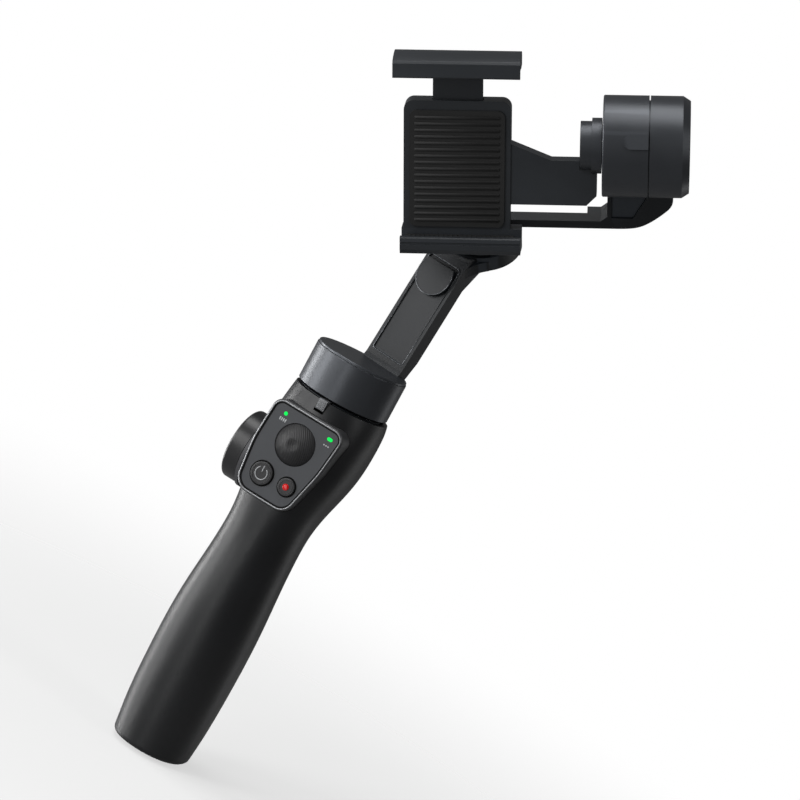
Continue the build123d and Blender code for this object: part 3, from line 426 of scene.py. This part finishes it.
# power mark: an open ring and a bar, raised on the button
bm = bmesh.new()
arc = []
for i in range(41):
    t = rad(90 + 34 + (360 - 68) * i / 40)
    arc.append(((PWR[0] + 2.75 * math.cos(t)) * MM, (FACE_Y - 0.92) * MM, (PWR[1] + 2.75 * math.sin(t)) * MM))
tube(bm, arc, 0.24 * MM, 8)
tube(bm, [(PWR[0] * MM, (FACE_Y - 0.92) * MM, (PWR[1] + z) * MM) for z in (0.6, 1.6, 2.6, 3.5)], 0.24 * MM, 8)
add_piece("power_mark", bm, "icon", "power_button")

# four charge bars under the left light and a dot pattern under the right one
bm = bmesh.new()
for i in range(4):
    prism(bm, rounded_rect(-10.1 - 1.35 + 0.9 * i, JOY_Z + 6.6, 0.55, 1.5, 0.18, 3), FACE_Y + 0.05, FACE_Y - 0.05, 0.03)
add_piece("charge_bars", bm, "icon", "handle")
bm = bmesh.new()
for i in range(3):
    prism(bm, [(12.3 + (i - 1) * 1.05 + 0.36 * math.cos(2 * math.pi * k / 16), JOY_Z + 6.5 + 0.36 * math.sin(2 * math.pi * k / 16)) for k in range(16)],
          FACE_Y + 0.05, FACE_Y - 0.05, 0.03)
add_piece("mode_dots", bm, "icon", "handle")

# raised rims round the two buttons, near-black as painted shade of the gaps around them
for nm, (cx, cz), r in (("power_rim", PWR, 5.5), ("record_rim", REC, 4.35)):
    bm = bmesh.new()
    ring = [((cx + r * math.cos(2 * math.pi * i / 64)) * MM, (FACE_Y + 0.02) * MM, (cz + r * math.sin(2 * math.pi * i / 64)) * MM) for i in range(64)]
    tube(bm, ring, 0.17 * MM, 8, closed=True)
    add_piece(nm, bm, "dark", "handle")

# dished ring on the record and power buttons
for nm, (cx, cz), r, body in (("power_dish", PWR, 4.1, "power_button"), ("record_dish", REC, 2.9, "record_button")):
    bm = bmesh.new()
    ring = [((cx + r * math.cos(2 * math.pi * i / 64)) * MM, (FACE_Y - 0.86) * MM, (cz + r * math.sin(2 * math.pi * i / 64)) * MM) for i in range(64)]
    tube(bm, ring, 0.2 * MM, 8, closed=True)
    add_piece(nm, bm, "rubber", body)

# grip ridges on the pan lock
bm = bmesh.new()
for z in (166.6, 167.5, 168.4, 169.3):
    tube(bm, [((0.8 + x) * MM, -23.3 * MM, z * MM) for x in (-1.6, -0.8, 0, 0.8, 1.6)], 0.2 * MM, 8)
add_piece("lock_ridges", bm, "lock", "pan_lock_tab")

# grip ribs on the clamp's rubber pads
bm = bmesh.new()
for i in range(17):
    z = -32.0 + i * 2.75
    prism(bm, rounded_rect(-9.5, z, 36.0, 1.25, 0.6, 4), -4.75, -5.15, 0.18)
add_piece("pad_ribs", bm, "pad", "tilt", TILT)
for nm, z0, z1, x0, x1, body in (("lower_pad_ribs", -38.4, -38.15, -30.0, 13.6, "tilt"), ("upper_pad_ribs", 33.1, 32.85, -32.0, 13.0, "upper_jaw")):
    bm = bmesh.new()
    n = 22
    for i in range(n):
        x = x0 + (x1 - x0) * (i + 0.5) / n
        tube(bm, [(x * MM, y * MM, z0 * MM) for y in (-11.6, -9.0, -6.0)], 0.28 * MM, 8)
    add_piece(nm, bm, "pad", body, TILT)

# closing springs of the jaw, wound
bm = bmesh.new()
for x in (-26.0, 7.0):
    pts = []
    turns, per = 30, 18
    for i in range(turns * per + 1):
        t = 2 * math.pi * i / per
        pts.append(((x + 1.85 * math.cos(t)) * MM, (0.5 + 1.85 * math.sin(t)) * MM, (-28.6 + 39.2 * i / (turns * per)) * MM))
    tube(bm, pts, 0.33 * MM, 6)
spring = add_piece("wound_springs", bm, "steel", "tilt", TILT)
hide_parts("clamp_springs")

# chips and connectors on the boards
bm = bmesh.new()
for x, z, w, h, d in ((-7.5, 121.0, 7.0, 7.0, 1.0), (6.5, 120.0, 5.0, 5.0, 0.9), (0.0, 136.5, 4.0, 3.0, 0.8), (9.5, 131.0, 2.4, 4.0, 0.7),
                      (-10.0, 136.0, 2.0, 3.0, 0.6), (0.0, 114.0, 8.0, 2.4, 1.6)):
    prism(bm, rounded_rect(x, z, w, h, 0.3, 3), -8.15, -8.15 + d, 0.12)
add_piece("board_chips", bm, "chip", "handle")

# tripod thread: a helical ridge on the bore's wall
bm = bmesh.new()
pts = []
for i in range(9 * 32 + 1):
    t = 2 * math.pi * i / 32
    pts.append((2.66 * math.cos(t) * MM, 2.66 * math.sin(t) * MM, (0.5 + 1.27 * i / 32 * 0.95) * MM))
tube(bm, pts, 0.2 * MM, 6)
add_piece("tripod_thread", bm, "brass", "handle")

# ------------------------------------------------------------------ stage and light
floor_me = bpy.data.meshes.new("floor")
bm = bmesh.new()
bmesh.ops.create_circle(bm, cap_ends=True, radius=0.9, segments=96)
bm.to_mesh(floor_me)
bm.free()
floor = bpy.data.objects.new("floor", floor_me)
scene.collection.objects.link(floor)
floor.location = (0, 0, CAD_LOW[2] - 0.0015)
fm, nt, bsdf = new_mat("floor_pale")
bsdf.inputs["Base Color"].default_value = (0.9, 0.9, 0.9, 1)
bsdf.inputs["Roughness"].default_value = 0.9
tc = nt.nodes.new("ShaderNodeTexCoord")
ln = nt.nodes.new("ShaderNodeVectorMath"); ln.operation = "LENGTH"
link(nt, tc.outputs["Object"], ln.inputs[0])
mr = nt.nodes.new("ShaderNodeMapRange"); mr.interpolation_type = "SMOOTHSTEP"
mr.inputs["From Min"].default_value = 0.10
mr.inputs["From Max"].default_value = 0.55
mr.inputs["To Min"].default_value = 0.4
mr.inputs["To Max"].default_value = 0.0
link(nt, ln.outputs["Value"], mr.inputs["Value"])
link(nt, mr.outputs["Result"], bsdf.inputs["Alpha"])
floor_me.materials.append(fm)

world = bpy.data.worlds.new("studio")
scene.world = world
world.use_nodes = True
wn = world.node_tree
bg = wn.nodes["Background"]
bg.inputs["Color"].default_value = (1, 1, 1, 1)
bg.inputs["Strength"].default_value = 0.12
bg2 = wn.nodes.new("ShaderNodeBackground")
bg2.inputs["Color"].default_value = (1, 1, 1, 1)
bg2.inputs["Strength"].default_value = 1.0
lp = wn.nodes.new("ShaderNodeLightPath")
ms = wn.nodes.new("ShaderNodeMixShader")
wn.links.new(lp.outputs["Is Camera Ray"], ms.inputs["Fac"])
wn.links.new(bg.outputs["Background"], ms.inputs[1])
wn.links.new(bg2.outputs["Background"], ms.inputs[2])
wn.links.new(ms.outputs["Shader"], wn.nodes["World Output"].inputs["Surface"])


def area(name, pos, look, size, power, size_y=None):
    d = bpy.data.lights.new(name, "AREA")
    d.energy = power
    d.shape = "RECTANGLE"
    d.size = size
    d.size_y = size_y or size
    o = bpy.data.objects.new(name, d)
    scene.collection.objects.link(o)
    o.location = pos
    o.rotation_euler = (Vector(look) - Vector(pos)).to_track_quat("-Z", "Y").to_euler()
    return o


mid = target


def at(rt, u, b):
    return mid + right * rt + up * u + back * b


area("key", at(-0.85, 0.75, 0.95), mid, 0.42, 10.0, 0.9)
area("front_left", at(-0.70, -0.15, 1.15), mid, 0.20, 3.0, 1.2)
area("left", at(-1.35, 0.45, 0.18), mid, 0.55, 15.0, 1.4)
area("left_rim", at(-1.15, 0.25, -0.60), mid, 0.30, 16.0, 1.3)
area("fill", at(1.2, 0.15, 0.75), mid, 0.35, 2.2, 1.1)
area("right_rim", at(1.1, -0.5, -0.8), mid, 0.35, 1.6, 1.2)
area("top", at(0.15, 1.2, 0.35), mid, 1.1, 7.0, 0.35)
try:
    scene.view_settings.view_transform = "Standard"
except TypeError:
    pass
